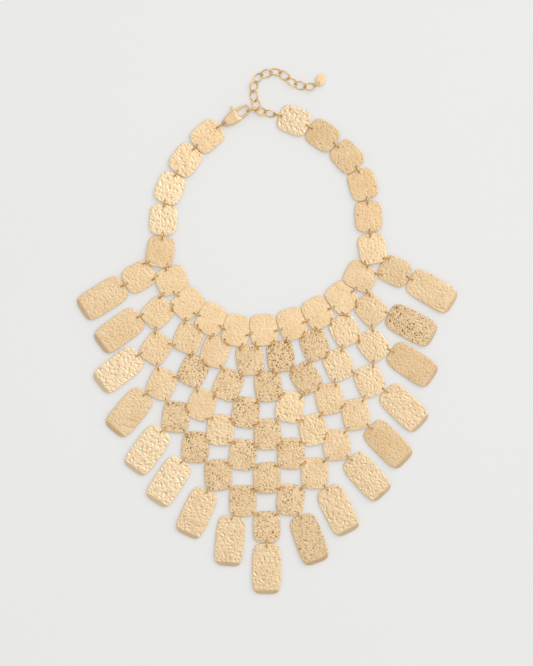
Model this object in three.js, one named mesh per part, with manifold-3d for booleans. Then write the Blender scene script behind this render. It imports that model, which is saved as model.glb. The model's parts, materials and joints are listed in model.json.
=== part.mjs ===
// Bib necklace of stamped plates: a fan-shaped net of cushion plates hung on jump rings from a
// collar row, a fringe of long drops along both slanted sides and the tip, two neck chains of
// the same plates, a lobster clasp and an extender chain. It lies flat, face up.
// Millimetres and degrees, +Z up, +Y towards the clasp, underside at z = 0.
import * as THREE from 'three';
import { mergeVertices } from 'three/addons/utils/BufferGeometryUtils.js';
import Module from 'manifold-3d';

// ---------- driving dimensions ----------
const THICKNESS = 0.8;
const PLATE = { width: 16.5, length: 18.9, power: 3.7 };
const DROP = { width: 17.3, length: 30.6, power: 4.2, lip: 3.0, lipAngle: 27 };
const OUTLINE_ANGLES = [0, 35, 55];                // in each quarter of a plate's outline
const RING = { radius: 2.15, wire: 0.8, sides: 3, segments: 6 };
const END_RING = { ...RING, radius: 2.7 };            // at both ends of the neck chains
const RING_GAP = 0.3;                              // kept free round a ring of another node
const RING_HOLE = 1.25;                            // circumradius of a six-sided clearance hole
const HOLE_SIDES = 6;
const LINK_SPAN = { min: 3.4, max: 3.95 };         // hole to hole, through one ring
const PITCH = { plate: 4.3, fork: 7.5, drop: 2.9 };  // lower edge raised over the next row
const COLLAR_ROLL = 3;                             // left edge raised over the left neighbour

// Hole places in a plate's own plane, x to its right and y to its upper end.
const HOLES = {
  top: [0, 8.0], bottom: [0, -8.0], left: [-6.9, -1.2], right: [6.9, -1.2],
  topLeft: [-5.4, 7.0], topRight: [5.4, 7.0], bottomLeft: [-5.6, -7.0], bottomRight: [5.6, -7.0],
  hang: [0, 13.6],
};

// The rows of the net: hang is how far a row's upper holes lie below the lower holes of the row
// above it, turns each plate's own clockwise turn, from left to right.
const COLLAR = { middle: [-1.1, -59.9], span: 3.5 };
const ROWS = {
  A: { turns: [70, 47, 27, 14, -5, -18, -29, -40, -63] },
  B: { hang: 3.0, turns: [45, 22, 18, -8, -7, -21, -30, -42] },
  C: { hang: 3.0, turns: [34, 25, 23, -7, -32, -25, -39] },
  D: { hang: 2.0, turns: [24, 21, 9, 12, -12, -23] },
  E: { hang: 2.8, turns: [7, 5, -2, -12, -10] },
  F: { hang: 0.2, turns: [5, 6, 0, -5] },
  G: { hang: 0.6, turns: [-4, -3, 0] },
  H: { hang: 0.0, turns: [0, 7] },
  I: { hang: 0.1, turns: [0] },
};
const ROW_ORDER = 'ABCDEFGHI';

// The two plates at the ends of row B, which carry the first drops.
const SIDE_PLATES = {
  left: { at: [-75.6, -27.5], turn: 61 },
  right: { at: [76.4, -24.5], turn: -65 },
};

// Neck chains from the fork plate up to the clasp: clockwise turns, plate by plate.
const NECKS = {
  left: { at: [-62.6, -11.6], span: 3.65, turns: [8, 2, 22, 36, 49] },
  right: { at: [63.7, -9.1], span: 3.75, turns: [-9, -4, -17, -42, -56, -69] },
};

// Clockwise turns of the drops, from the side plates down to the tip.
const DROP_TURNS = {
  left: [58, 54, 52, 40, 36, 33, 25, 5],
  right: [-59, -62, -56, -46, -45, -42, -27, -20],
};

const DROP_SPREAD = 0.2;                           // how far the drops' rings lean outwards

// Lobster clasp, in its own plane: x from the tail to the nose, y to the lever's side.
const CLASP = { angle: 31, tilt: 3, eye: 1.1, eyeWay: 30, ringSpan: 4.6, hole: 1.2, belly: 3.2, arm: 1.9,
  bellyEnd: 10.9, lift: 0.45 };
const LEVER = { pivot: [8.4, 2.5], eye: 1.3, pin: 0.45, thickness: 1.4, tip: 17.6, gap: 0.3 };

// Extender: oval links of one size, then the small tag.
const LINK = { length: 7.8, width: 6.0, wire: 0.85, pitch: 5.7, segments: 10, sides: 4 };
const CATCH_LINK = { at: [-8.2, 71.8], turn: 12, roll: 90, lift: 0 };
const NECK_LINKS = [
  { at: [-3.2, 71.2], turn: -19, roll: -27, lift: 0.4 },
  { at: [2.3, 69.5], turn: -11, roll: 52, lift: 0 },
];
const EXTENDER_ROUTE = [[-5.6, 74.8], [-7.2, 80], [-7.2, 86], [-4.8, 91], [0.3, 93.6], [5.5, 94.6],
  [10.9, 92.4], [15.6, 88.6], [20, 86.6], [26.3, 85.8], [31.5, 87.2]];
const EXTENDER = { links: 10, roll: 34, firstRoll: 22, firstLift: 1.1 };
const SMALL_RING = { radius: 1.9, wire: 0.75, sides: 4, segments: 8 };
const TAG = { length: 7.6, width: 5.8, thickness: 0.9, lift: 1.05, turn: 66, hole: 2.2, ringSpan: 3.6,
  ringWay: 30 };

const GROUND = -0.7;                               // lowest reach of the jump rings
const RAD = Math.PI / 180;
const GOLD = { color: 0xeccb9e, metalness: 1, roughness: 0.38 };

const wasm = await Module();
wasm.setup();

// ---------- solids ----------

// Turns a three.js geometry into a manifold solid, sharing its equal vertices.
function toSolid(geometry, matrix) {
  const bare = geometry.clone();
  bare.deleteAttribute('normal');
  bare.deleteAttribute('uv');
  if (matrix) bare.applyMatrix4(matrix);
  const merged = mergeVertices(bare, 1e-4);
  return new wasm.Manifold(new wasm.Mesh({
    numProp: 3,
    vertProperties: Float32Array.from(merged.attributes.position.array),
    triVerts: Uint32Array.from(merged.index.array),
  }));
}

// Turns a manifold solid back into a three.js geometry.
function toGeometry(solid) {
  const mesh = solid.getMesh();
  const geometry = new THREE.BufferGeometry();
  geometry.setAttribute('position', new THREE.BufferAttribute(Float32Array.from(mesh.vertProperties), 3));
  geometry.setIndex(new THREE.BufferAttribute(Uint32Array.from(mesh.triVerts), 1));
  return geometry;
}

// Points of a superellipse |x/a|^n + |y/b|^n = 1, anticlockwise from +x.
function cushionPoints(width, length, power) {
  const rounded = (value) => Math.sign(value) * Math.abs(value) ** (2 / power);
  return [0, 90, 180, 270].flatMap((quarter) => OUTLINE_ANGLES.map((step) => {
    const angle = (quarter + step) * RAD;
    return new THREE.Vector2((width / 2) * rounded(Math.cos(angle)), (length / 2) * rounded(Math.sin(angle)));
  }));
}

function circlePath(x, y, radius, sides) {
  const points = Array.from({ length: sides }, (_, i) => {
    const angle = -(i / sides) * 2 * Math.PI;
    return new THREE.Vector2(x + radius * Math.cos(angle), y + radius * Math.sin(angle));
  });
  return new THREE.Path(points);
}

// A flat sheet of the given outline, centred on z = 0, with its ring holes open.
function sheet(points, thickness, holes = []) {
  const shape = new THREE.Shape(points);
  shape.holes = holes.map(([x, y]) => circlePath(x, y, RING_HOLE, HOLE_SIDES));
  const geometry = new THREE.ExtrudeGeometry(shape, { depth: thickness, bevelEnabled: false, steps: 1 });
  return geometry.translate(0, 0, -thickness / 2);
}

function plateSolid(openHoles) {
  const outline = cushionPoints(PLATE.width, PLATE.length, PLATE.power);
  return toSolid(sheet(outline, THICKNESS, openHoles));
}

// A long drop: the flat sheet down to the bend, and the lip turned down about its upper edge.
function dropSolid(openHoles) {
  const outline = cushionPoints(DROP.width, DROP.length, DROP.power);
  const bend = -DROP.length / 2 + DROP.lip;
  const depth = Math.abs((2 * bend) / DROP.length);
  const half = (DROP.width / 2) * (1 - depth ** DROP.power) ** (1 / DROP.power);
  const ends = [new THREE.Vector2(-half, bend), new THREE.Vector2(half, bend)];
  const anticlockwise = (points) => {
    const centre = new THREE.Vector2(0, points.reduce((sum, p) => sum + p.y, 0) / points.length);
    const heading = (p) => Math.atan2(p.y - centre.y, p.x - centre.x);
    return points.sort((p, q) => heading(p) - heading(q));
  };
  const face = anticlockwise([...outline.filter((p) => p.y > bend), ...ends]);
  const lip = anticlockwise([...outline.filter((p) => p.y < bend), ...ends]);
  const turn = new THREE.Matrix4().makeTranslation(0, bend, THICKNESS / 2)
    .multiply(new THREE.Matrix4().makeRotationX(DROP.lipAngle * RAD))
    .multiply(new THREE.Matrix4().makeTranslation(0, -bend, -THICKNESS / 2));
  return toSolid(sheet(face, THICKNESS, openHoles)).add(toSolid(sheet(lip, THICKNESS), turn));
}

// ---------- plates and where they lie ----------

class Plate {
  constructor(name, node, at, turn, pitch = PITCH.plate, roll = 0, long = false) {
    Object.assign(this, { name, node, turn, pitch, roll, long, openHoles: [] });
    this.at = new THREE.Vector2(...at);
  }

  // The plate's lowest corner lies at z = 0, on the jump rings' bottoms.
  matrix() {
    const tilt = new THREE.Matrix4().makeRotationZ(-this.turn * RAD)
      .multiply(new THREE.Matrix4().makeRotationX(-this.pitch * RAD))
      .multiply(new THREE.Matrix4().makeRotationY(this.roll * RAD));
    const size = this.long ? DROP : PLATE;
    const lows = cushionPoints(size.width, size.length, size.power)
      .map((p) => new THREE.Vector3(p.x, p.y, -THICKNESS / 2).applyMatrix4(tilt).z);
    const height = -Math.min(...lows);
    return new THREE.Matrix4().makeTranslation(this.at.x, this.at.y, height).multiply(tilt);
  }

  hole(key) {
    return new THREE.Vector3(...HOLES[key], 0).applyMatrix4(this.matrix());
  }

  up() {
    return new THREE.Vector2(Math.sin(this.turn * RAD), Math.cos(this.turn * RAD));
  }
}

const plates = new Map();
const links = [];

function addPlate(...details) {
  const plate = new Plate(...details);
  plates.set(plate.name, plate);
  return plate;
}

// Joins a hole of the upper plate to a hole of the lower one.
function addLink(upper, upperHole, lower, lowerHole) {
  links.push({ upper: plates.get(upper), upperHole, lower: plates.get(lower), lowerHole });
}

// The neck plate that forks into the collar row and the side plate.
function forkName(side) {
  return `neck_${side}_${NECKS[side].turns.length}`;
}

const NET_NODE = { A: 'collar_row', B: 'net_upper', C: 'net_upper', D: 'net_lower', E: 'net_lower',
  F: 'net_tip', G: 'net_tip', H: 'net_tip', I: 'net_tip' };

// Lays the collar row out from its middle plate, one ring after another.
function layCollar() {
  const { turns } = ROWS.A;
  const middle = (turns.length - 1) / 2;
  turns.forEach((turn, i) => {
    const at = i === middle ? COLLAR.middle : [0, 0];
    addPlate(`A${i + 1}`, NET_NODE.A, at, turn, PITCH.plate, i > 0 ? COLLAR_ROLL : 0);
  });
  for (let step = 1; step <= middle; step += 1) {
    for (const [side, hostHole, hole] of [[-1, 'left', 'right'], [1, 'right', 'left']]) {
      const host = plates.get(`A${middle + 1 + side * (step - 1)}`);
      const plate = plates.get(`A${middle + 1 + side * step}`);
      const up = plate.up().add(host.up()).normalize();
      hangFrom(host, hostHole, plate, hole, new THREE.Vector2(side * up.y, -side * up.x), COLLAR.span);
    }
  }
}

// Hangs a row's plates below the two lower holes that each one is ringed to.
function layRow(row, above) {
  const { hang, turns } = ROWS[row];
  turns.forEach((turn, i) => {
    const from = plates.get(`${above}${i + 1}`).hole('bottomRight');
    const to = plates.get(`${above}${i + 2}`).hole('bottomLeft');
    const middle = new THREE.Vector2((from.x + to.x) / 2, (from.y + to.y) / 2);
    const plate = addPlate(`${row}${i + 1}`, NET_NODE[row], [0, 0], turn);
    plate.at = middle.addScaledVector(plate.up(), -hang - HOLES.topLeft[1]);
  });
}

function layNet() {
  layCollar();
  [...ROW_ORDER].slice(1).forEach((row, index) => layRow(row, ROW_ORDER[index]));
  for (const [side, { at, turn }] of Object.entries(SIDE_PLATES)) {
    addPlate(`side_${side}`, `side_plate_${side}`, at, turn);
    addPlate(forkName(side), `neck_plate_${forkName(side).slice(5)}`, NECKS[side].at, NECKS[side].turns[0], PITCH.fork);
  }
  const collar = ROWS.A.turns.length;
  for (let i = 1; i < collar; i += 1) addLink(`A${i}`, 'right', `A${i + 1}`, 'left');
  addLink('A1', 'bottomLeft', 'side_left', 'topRight');
  addLink(`A${collar}`, 'bottomRight', 'side_right', 'topLeft');
  addLink(forkName('left'), 'bottomLeft', 'side_left', 'topLeft');
  addLink(forkName('left'), 'bottomRight', 'A1', 'left');
  addLink(forkName('right'), 'bottomRight', 'side_right', 'topRight');
  addLink(forkName('right'), 'bottomLeft', `A${collar}`, 'right');
  [...ROW_ORDER].slice(1).forEach((row, index) => {
    const above = ROW_ORDER[index];
    ROWS[row].turns.forEach((_, i) => {
      addLink(`${above}${i + 1}`, 'bottomRight', `${row}${i + 1}`, 'topLeft');
      addLink(`${above}${i + 2}`, 'bottomLeft', `${row}${i + 1}`, 'topRight');
    });
  });
}

// Pulls or pushes linked plates until every ring can span its two holes.
function settle(rounds) {
  for (let round = 0; round < rounds; round += 1) {
    for (const { upper, upperHole, lower, lowerHole } of links) {
      const from = upper.hole(upperHole);
      const to = lower.hole(lowerHole);
      const span = from.distanceTo(to);
      const wanted = THREE.MathUtils.clamp(span, LINK_SPAN.min, LINK_SPAN.max);
      const way = new THREE.Vector2(to.x - from.x, to.y - from.y).normalize();
      const share = (wanted - span) / 2;
      upper.at.addScaledVector(way, -share);
      lower.at.addScaledVector(way, share);
    }
  }
}

// Places a plate so that its hole is one ring away from a hole of its host, in direction way.
function hangFrom(host, hostHole, plate, plateHole, way, span) {
  const from = host.hole(hostHole);
  const to = plate.hole(plateHole);
  const rise = to.z - from.z;
  const reach = Math.sqrt(span ** 2 - rise ** 2);
  plate.at.x += from.x + way.x * reach - to.x;
  plate.at.y += from.y + way.y * reach - to.y;
}

function layNeck(side) {
  const { turns, span } = NECKS[side];
  turns.slice(1).forEach((turn, i) => {
    const number = turns.length - 1 - i;
    const below = plates.get(`neck_${side}_${number + 1}`);
    const plate = addPlate(`neck_${side}_${number}`, `neck_plate_${side}_${number}`, [0, 0], turn);
    hangFrom(below, 'top', plate, 'bottom', plate.up().add(below.up()).normalize(), span);
    addLink(plate.name, 'bottom', below.name, 'top');
  });
}

function layDrops() {
  for (const [side, turns] of Object.entries(DROP_TURNS)) {
    const corner = side === 'left' ? 'bottomLeft' : 'bottomRight';
    turns.forEach((turn, i) => {
      const row = ROW_ORDER[i];
      const count = i === 0 ? 0 : ROWS[row].turns.length;
      const host = i === 0 ? `side_${side}` : `${row}${side === 'left' ? 1 : count}`;
      hangDrop(`drop_${side}_${i + 1}`, host, i === 0 ? 'bottom' : corner, turn);
    });
  }
  hangDrop('drop_center', 'I1', 'bottom', 0);
}

function hangDrop(name, hostName, hostHole, turn) {
  const host = plates.get(hostName);
  const drop = addPlate(name, name, [0, 0], turn, PITCH.drop, 0, true);
  const way = drop.up().negate();
  way.x += DROP_SPREAD * Math.sign(host.at.x) * Math.abs(Math.sign(turn));
  way.normalize();
  hangFrom(host, hostHole, drop, 'hang', way, LINK_SPAN.max);
  addLink(hostName, hostHole, name, 'hang');
}

// A jump ring standing on edge through two holes, bulging upwards.
function ringSolid(from, to, { radius, wire, segments = RING.segments, sides = RING.sides }) {
  const along = to.clone().sub(from);
  const half = along.length() / 2;
  along.normalize();
  const up = new THREE.Vector3(0, 0, 1).addScaledVector(along, -along.z).normalize();
  const axis = along.clone().cross(up);
  const centre = from.clone().add(to).multiplyScalar(0.5)
    .addScaledVector(up, Math.sqrt(Math.max(radius ** 2 - half ** 2, 0)));
  const basis = new THREE.Matrix4().makeBasis(along, up, axis).setPosition(centre);
  const torus = new THREE.TorusGeometry(radius, wire / 2, sides, segments);
  return toSolid(torus, basis);
}

layNet();
settle(60);
layNeck('left');
layNeck('right');
layDrops();

// ---------- assembly ----------
const solids = new Map();

function join(node, solid) {
  solids.set(node, solids.has(node) ? solids.get(node).add(solid) : solid);
}

for (const link of links) {
  const { upper, lower, upperHole } = link;
  if (upper.node !== lower.node) upper.openHoles.push(HOLES[upperHole]);
}
for (const plate of plates.values()) {
  const solid = plate.long ? dropSolid(plate.openHoles) : plateSolid(plate.openHoles);
  join(plate.node, solid.transform([...plate.matrix().elements]));
}
for (const { upper, lower, upperHole, lowerHole } of links) {
  const groove = { ...RING, wire: RING.wire + 2 * RING_GAP };
  const cut = ringSolid(upper.hole(upperHole), lower.hole(lowerHole), groove);
  for (const [node, solid] of solids) {
    if (node !== lower.node) solids.set(node, solid.subtract(cut));
  }
}
for (const { upper, lower, upperHole, lowerHole } of links) {
  join(lower.node, ringSolid(upper.hole(upperHole), lower.hole(lowerHole), RING));
}

// ---------- clasp ----------

function extrude(points, thickness, holes = []) {
  const shape = new THREE.Shape(points);
  shape.holes = holes;
  const geometry = new THREE.ExtrudeGeometry(shape, { depth: thickness, bevelEnabled: false, steps: 1 });
  return toSolid(geometry.translate(0, 0, -thickness / 2));
}

function smooth(corners, count) {
  const curve = new THREE.SplineCurve([...corners, corners[0]].map(([x, y]) => new THREE.Vector2(x, y)));
  return curve.getSpacedPoints(count).slice(0, count);
}

function block(x0, x1, y0, y1, depth) {
  const box = new THREE.BoxGeometry(x1 - x0, y1 - y0, depth);
  return toSolid(box.translate((x0 + x1) / 2, (y0 + y1) / 2, 0));
}

function disc(x, y, radius, depth, sides) {
  const cylinder = new THREE.CylinderGeometry(radius, radius, depth, sides);
  return toSolid(cylinder.rotateX(Math.PI / 2).translate(x, y, 0));
}

const OPENING = [[11.3, -0.6], [11.7, 1.6], [14, 2.4], [17, 2.2], [18.2, 0.4], [17.3, -1.1], [14.5, -1.6],
  [12, -1.4]];
const CLASP_OUTLINE = [[-0.5, 0], [0.4, 1.5], [3, 2.9], [7, 3.9], [11, 4.2], [15, 4.1], [18, 3.3],
  [19.6, 0.8], [18.9, -1.8], [15.6, -3.1], [11.5, -3.5], [7.5, -3.8], [3.2, -3.1], [0.5, -1.5]];

// The clasp body: a thin arm all round, a thicker belly, a slot for the lever and its pin.
function claspBody() {
  const outline = smooth(CLASP_OUTLINE, 26);
  const [px, py] = LEVER.pivot;
  const clear = LEVER.gap;
  const belly = extrude(outline, CLASP.belly).intersect(block(2.4, CLASP.bellyEnd, -6, 6, CLASP.belly + 1));
  const slotFloor = py - LEVER.eye - clear;
  const slotDepth = LEVER.thickness + 2 * clear;
  return extrude(outline, CLASP.arm).add(belly)
    .subtract(extrude(smooth(OPENING, 14), CLASP.belly + 1))
    .subtract(block(CLASP.bellyEnd, LEVER.tip + clear, 1.2, 8, CLASP.belly + 1))
    .subtract(block(px - LEVER.eye - clear, CLASP.bellyEnd + 0.2, slotFloor, 8, slotDepth))
    .subtract(disc(CLASP.eye, 0, CLASP.hole, CLASP.belly + 1, 6))
    .add(disc(px, py, LEVER.pin, CLASP.belly - 0.2, 6));
}

// The lever: an eye round the pin, the gate along the opening, and the thumb knob.
function claspLever() {
  const [px, py] = LEVER.pivot;
  const gate = [[px - 0.6, py - 1.1], [11.5, 2.3], [LEVER.tip, 2.2], [LEVER.tip, 3.2], [15, 3.9], [11.3, 4.2],
    [10.9, 6.4], [9.9, 6.9], [9.2, 6.3], [9.1, 4.1], [px - 0.6, py + 1.1]];
  const outline = gate.map(([x, y]) => new THREE.Vector2(x, y));
  return extrude(outline, LEVER.thickness)
    .add(disc(px, py, LEVER.eye, LEVER.thickness, 10))
    .subtract(disc(px, py, LEVER.pin + clearOf(LEVER.gap, 6), LEVER.thickness + 1, 6));
}

// Circumradius that leaves the given clearance at the flats of a many-sided hole.
function clearOf(gap, sides) {
  return gap / Math.cos(Math.PI / sides) + LEVER.pin * (1 / Math.cos(Math.PI / sides) - 1);
}

const firstPlate = plates.get('neck_left_1');
const claspHole = firstPlate.hole('top');
const claspHeight = GROUND + CLASP.belly / 2 + CLASP.lift;
const eyeAt = new THREE.Vector3(
  claspHole.x + CLASP.ringSpan * Math.cos(CLASP.eyeWay * RAD),
  claspHole.y + CLASP.ringSpan * Math.sin(CLASP.eyeWay * RAD),
  claspHeight,
);
const claspFrame = new THREE.Matrix4().makeTranslation(eyeAt.x, eyeAt.y, eyeAt.z)
  .multiply(new THREE.Matrix4().makeRotationZ(CLASP.angle * RAD))
  .multiply(new THREE.Matrix4().makeRotationY(-CLASP.tilt * RAD))
  .multiply(new THREE.Matrix4().makeTranslation(-CLASP.eye, 0, 0));

// The clasp's jump ring is part of the first plate and turns freely in the clasp's eye.
join(firstPlate.node, ringSolid(claspHole, eyeAt, END_RING));
join('clasp_body', claspBody().transform([...claspFrame.elements]));
join('clasp_lever', claspLever().transform([...claspFrame.elements]));

// ---------- extender ----------

// Height of a link's middle when its lower side lies at the given lift above the ground.
function linkHeight(roll, lift) {
  return GROUND + lift + ((LINK.width - LINK.wire) / 2) * Math.abs(Math.sin(roll * RAD)) + LINK.wire / 2;
}

// An oval link: a torus whose centre line is stretched into an ellipse, its wire kept round.
function linkSolid({ at, turn, roll, lift }) {
  const ring = (LINK.width - LINK.wire) / 2;
  const stretch = (LINK.length - LINK.width) / 2;
  const geometry = new THREE.TorusGeometry(ring, LINK.wire / 2, LINK.sides, LINK.segments);
  const place = geometry.attributes.position;
  for (let i = 0; i < place.count; i += 1) {
    const angle = Math.atan2(place.getY(i), place.getX(i));
    place.setX(i, place.getX(i) + stretch * Math.cos(angle));
  }
  const frame = new THREE.Matrix4().makeTranslation(at[0], at[1], linkHeight(roll, lift))
    .multiply(new THREE.Matrix4().makeRotationZ(turn * RAD))
    .multiply(new THREE.Matrix4().makeRotationX(roll * RAD));
  return toSolid(geometry, frame);
}

// Links along the route at one pitch, rolled to alternate sides.
function extenderLinks() {
  const route = new THREE.SplineCurve(EXTENDER_ROUTE.map(([x, y]) => new THREE.Vector2(x, y)));
  route.arcLengthDivisions = 600;
  const whole = route.getLength();
  return Array.from({ length: EXTENDER.links }, (_, i) => {
    const share = (i * LINK.pitch) / whole;
    const at = route.getPointAt(share);
    const way = route.getTangentAt(share);
    const turn = Math.atan2(way.y, way.x) / RAD;
    if (i === 0) return { at: [at.x, at.y], turn, roll: EXTENDER.firstRoll, lift: EXTENDER.firstLift };
    return { at: [at.x, at.y], turn, roll: i % 2 ? -EXTENDER.roll : EXTENDER.roll, lift: 0 };
  });
}

const extender = extenderLinks();
[CATCH_LINK, ...NECK_LINKS].forEach((link, i) => join(`neck_link_${i + 1}`, linkSolid(link)));
extender.forEach((link, i) => join(`extender_link_${i + 1}`, linkSolid(link)));

// The point just inside a link's end wire, at its far end or its near end.
function insideLink({ at, turn, roll, lift }, end) {
  const reach = end * (LINK.length / 2 - LINK.wire - 0.75);
  const [x, y] = [at[0] + reach * Math.cos(turn * RAD), at[1] + reach * Math.sin(turn * RAD)];
  return new THREE.Vector3(x, y, linkHeight(roll, lift));
}

// The small ring that ties the short neck chain to the last right-hand plate.
const lastPlate = plates.get('neck_right_1');
join(lastPlate.node, ringSolid(insideLink(NECK_LINKS[1], 1), lastPlate.hole('top'), END_RING));

// The tag: a flat oval disc lying on its own small ring, which runs through the last link.
function tagSolid() {
  const outline = cushionPoints(TAG.length, TAG.width, 2);
  const loop = insideLink(extender.at(-1), 1);
  const edge = loop.clone();
  edge.x += TAG.ringSpan * Math.cos(TAG.ringWay * RAD);
  edge.y += TAG.ringSpan * Math.sin(TAG.ringWay * RAD);
  edge.z = GROUND + TAG.lift + TAG.thickness / 2;
  const frame = new THREE.Matrix4().makeTranslation(edge.x, edge.y, edge.z)
    .multiply(new THREE.Matrix4().makeRotationZ(TAG.turn * RAD))
    .multiply(new THREE.Matrix4().makeTranslation(TAG.hole, 0, 0));
  return extrude(outline, TAG.thickness).transform([...frame.elements])
    .add(ringSolid(loop, edge, SMALL_RING));
}

join('extender_tag', tagSolid());

const material = new THREE.MeshStandardMaterial(GOLD);
const body = new THREE.Group();
for (const [node, solid] of solids) {
  const mesh = new THREE.Mesh(toGeometry(solid), material.clone());
  mesh.name = node;
  body.add(mesh);
}
const box = new THREE.Box3().setFromObject(body);
const middle = box.getCenter(new THREE.Vector3());
body.position.set(-middle.x, -middle.y, -box.min.z);
const necklace = new THREE.Group();
necklace.add(body);
export default necklace;
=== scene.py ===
"""Dresses the bib necklace: hammered gold plates, jump rings, a lobster clasp and an extender chain.

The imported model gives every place. Each plate's frame is read from its solid, each jump ring is
found between the two holes that it joins, and the fine surfaces are worked out in those frames.
"""

from __future__ import annotations

import json
import logging
import math
from collections.abc import Sequence
from dataclasses import dataclass, field
from enum import Enum
from typing import Any

import bpy
import numpy as np
from mathutils import Matrix

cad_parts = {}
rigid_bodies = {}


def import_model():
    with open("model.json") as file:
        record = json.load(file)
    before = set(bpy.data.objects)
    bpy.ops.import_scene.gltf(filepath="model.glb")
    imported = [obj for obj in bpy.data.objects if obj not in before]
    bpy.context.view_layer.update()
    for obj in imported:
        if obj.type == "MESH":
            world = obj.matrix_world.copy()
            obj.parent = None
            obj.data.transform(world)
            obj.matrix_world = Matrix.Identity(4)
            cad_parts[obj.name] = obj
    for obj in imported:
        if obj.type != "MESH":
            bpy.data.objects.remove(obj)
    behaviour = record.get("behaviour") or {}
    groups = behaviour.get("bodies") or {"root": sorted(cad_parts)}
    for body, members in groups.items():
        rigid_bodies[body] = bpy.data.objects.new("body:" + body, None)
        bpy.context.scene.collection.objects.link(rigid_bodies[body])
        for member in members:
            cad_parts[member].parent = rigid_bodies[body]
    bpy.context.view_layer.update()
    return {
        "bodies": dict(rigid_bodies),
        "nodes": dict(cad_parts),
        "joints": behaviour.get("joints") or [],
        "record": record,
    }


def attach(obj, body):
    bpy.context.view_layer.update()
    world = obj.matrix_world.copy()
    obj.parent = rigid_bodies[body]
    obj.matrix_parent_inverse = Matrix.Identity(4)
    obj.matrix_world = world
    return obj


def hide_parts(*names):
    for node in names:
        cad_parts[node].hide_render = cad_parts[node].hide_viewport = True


log = logging.getLogger("necklace")

MM = 0.001
UP = np.array([0.0, 0.0, 1.0])
SHARP = math.radians(50)
Array = np.ndarray


# ---------- shader maths ----------


class Signal:
    """A shader socket that takes part in Python arithmetic."""

    def __init__(self, shader: Shader, socket: Any) -> None:
        """Keeps the socket and the shader that it belongs to."""
        self.shader = shader
        self.socket = socket

    def _maths(self, operation: str, *values: Any) -> Signal:
        """Adds one Math node over the given values."""
        inputs = dict(enumerate(values))
        return self.shader.add("ShaderNodeMath", {"operation": operation}, inputs)

    def __add__(self, other: Signal | float) -> Signal:
        """Adds a value."""
        return self._maths("ADD", self, other)

    __radd__ = __add__

    def __sub__(self, other: Signal | float) -> Signal:
        """Takes a value away."""
        return self._maths("SUBTRACT", self, other)

    def __rsub__(self, other: Signal | float) -> Signal:
        """Takes this signal away from a value."""
        return self._maths("SUBTRACT", other, self)

    def __mul__(self, other: Signal | float) -> Signal:
        """Multiplies by a value."""
        return self._maths("MULTIPLY", self, other)

    __rmul__ = __mul__

    def between(self, low: float, high: float) -> Signal:
        """Runs smoothly from 0 at low to 1 at high."""
        settings = {"interpolation_type": "SMOOTHSTEP"}
        inputs = {"Value": self, "From Min": low, "From Max": high, "To Min": 0.0, "To Max": 1.0}
        return self.shader.add("ShaderNodeMapRange", settings, inputs, "Result")


class Shader:
    """The node tree of one material or world, with one method that adds any node."""

    def __init__(self, tree: Any) -> None:
        """Empties the tree."""
        self.tree = tree
        tree.nodes.clear()

    def add(
        self,
        kind: str,
        settings: dict[str, Any] | None = None,
        inputs: dict[Any, Any] | None = None,
        output: str | int = 0,
    ) -> Signal:
        """Adds a node.

        Args:
            kind: The node's type.
            settings: Properties of the node, set before its sockets.
            inputs: Values or signals by socket name or number.
            output: Name or number of the socket that is handed back.

        Returns:
            The output socket as a signal, empty if the node has none.
        """
        node = self.tree.nodes.new(kind)
        for name, value in (settings or {}).items():
            setattr(node, name, value)
        for key, value in (inputs or {}).items():
            if isinstance(value, Signal):
                self.tree.links.new(value.socket, node.inputs[key])
            else:
                node.inputs[key].default_value = value
        return Signal(self, node.outputs[output] if node.outputs else None)

    def place(self) -> Signal:
        """The place on the object, in metres."""
        return self.add("ShaderNodeTexCoord", None, None, "Object")

    def carried(self, name: str) -> Signal:
        """A value that the piece's points carry."""
        return self.add("ShaderNodeAttribute", {"attribute_name": name}, None, "Fac")

    def noise(self, place: Signal, scale: float, detail: float = 2.0, distortion: float = 0.0) -> Signal:
        """Adds a noise of the given scale, in repeats a metre, at the place."""
        inputs = {"Vector": place, "Scale": scale, "Detail": detail, "Distortion": distortion}
        return self.add("ShaderNodeTexNoise", None, inputs, "Fac")

    def blend(self, factor: Signal | float, first: Sequence[float] | Signal, second: Any) -> Signal:
        """Mixes two colours by a factor; the colour sockets are known by their numbers."""
        return self.add("ShaderNodeMix", {"data_type": "RGBA"}, {0: factor, 6: first, 7: second}, 2)

    def bump(self, strength: float, distance: float, height: Signal) -> Signal:
        """Turns a height into a normal."""
        inputs = {"Strength": strength, "Distance": distance, "Height": height}
        return self.add("ShaderNodeBump", None, inputs, "Normal")

    def surface(self, inputs: dict[str, Any]) -> None:
        """Ends the tree in a surface with these inputs."""
        surface = self.add("ShaderNodeBsdfPrincipled", None, inputs)
        self.add("ShaderNodeOutputMaterial", None, {0: surface})


def new_material(name: str) -> tuple[Any, Shader]:
    """A new material and its empty shader."""
    made = bpy.data.materials.new(name)
    made.use_nodes = True
    return made, Shader(made.node_tree)


def rgba(red: float, green: float, blue: float) -> tuple[float, float, float, float]:
    """A solid colour of linear light."""
    return (red, green, blue, 1.0)


# ---------- finishes ----------


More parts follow.
